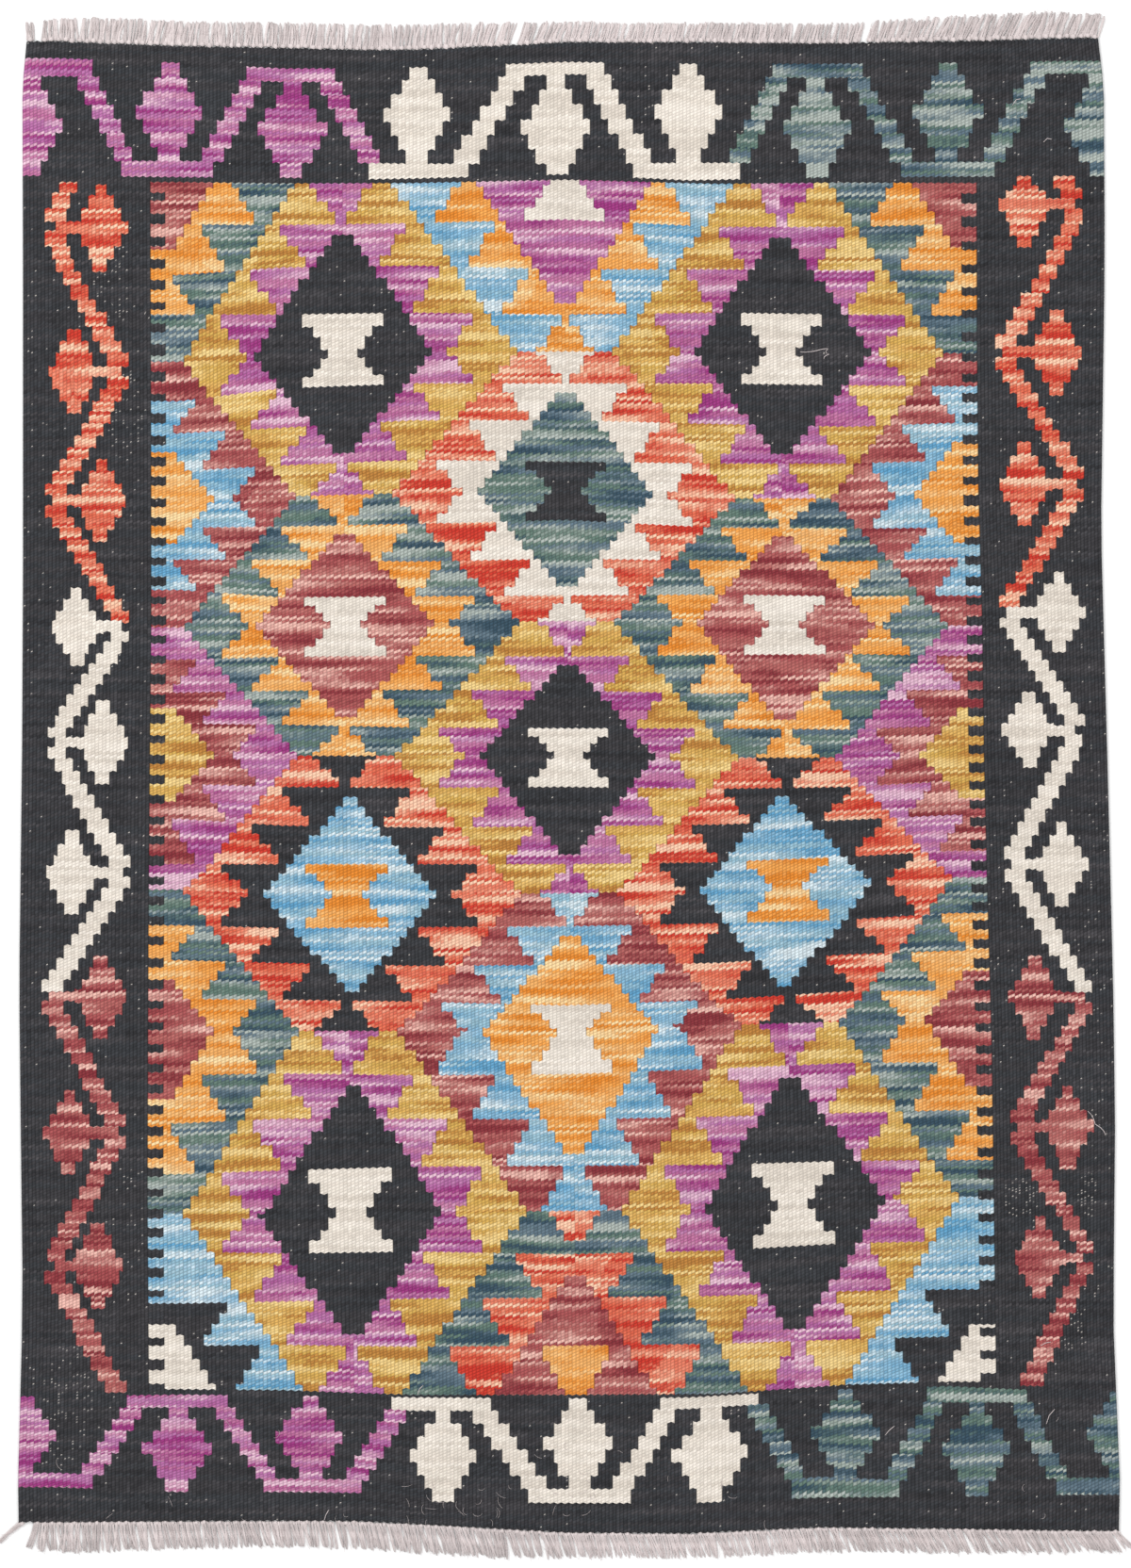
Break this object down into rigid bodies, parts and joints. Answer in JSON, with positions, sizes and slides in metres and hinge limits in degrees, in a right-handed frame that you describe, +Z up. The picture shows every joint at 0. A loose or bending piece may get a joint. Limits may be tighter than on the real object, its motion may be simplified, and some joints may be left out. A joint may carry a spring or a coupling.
{
  "type": "kilim rug",
  "caption": "Flat woven kilim rug, charcoal ground with stepped diamonds and a stepped meander border, with a short knotted fringe at each end.",
  "frame": {"origin": "centre of the rug's underside, on the floor", "axes": "+Z up out of the rug's face, +Y along the warps towards the upper fringe, +X to the right"},
  "size_m": [1.029, 1.4134, 0.003],
  "materials": {
    "woven_wool": "weft-faced slit weave in dyed hand-spun wool, matt",
    "warp_ends": "undyed grey-lilac warp yarn, knotted and cut short, matt"
  },
  "bodies": {
    "root": {"cloth": "woven_wool", "fringe_top": "warp_ends", "fringe_bottom": "warp_ends"}
  },
  "joints": []
}
